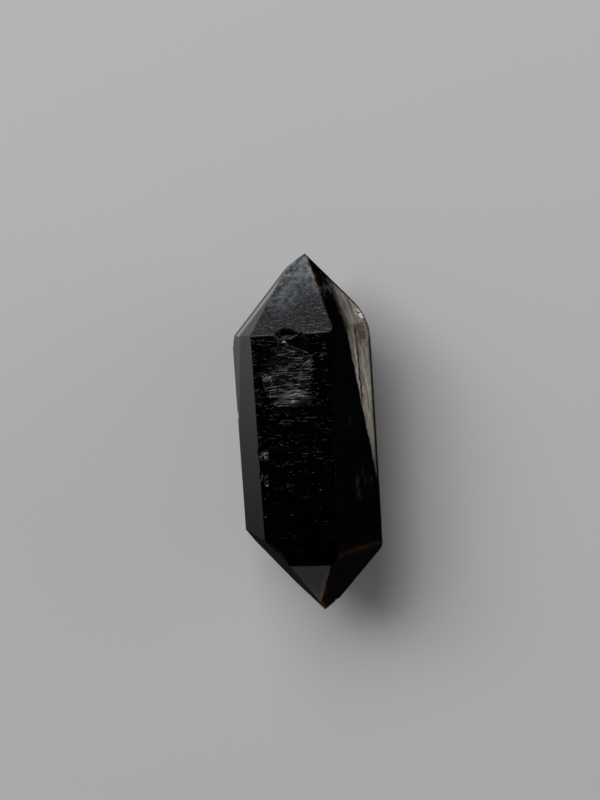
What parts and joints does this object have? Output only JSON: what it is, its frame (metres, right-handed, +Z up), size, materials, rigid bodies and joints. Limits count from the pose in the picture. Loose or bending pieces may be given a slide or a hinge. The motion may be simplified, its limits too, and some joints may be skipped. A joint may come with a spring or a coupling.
{
  "type": "double terminated quartz crystal",
  "caption": "Dark smoky quartz crystal, a six-sided prism with a faceted point at each end, lying on one prism face as a loose mineral specimen.",
  "frame": {"origin": "on the surface the crystal lies on, under the middle of its outline", "axes": "+Y along the crystal's long axis to its upper point, +Z up out of the front prism face, +X to the right"},
  "size_m": [0.0206, 0.052, 0.0176],
  "materials": {
    "smoky_quartz": "glassy crystal faces with fine growth lines across the prism"
  },
  "bodies": {
    "root": {"crystal": "smoky_quartz"}
  },
  "joints": []
}
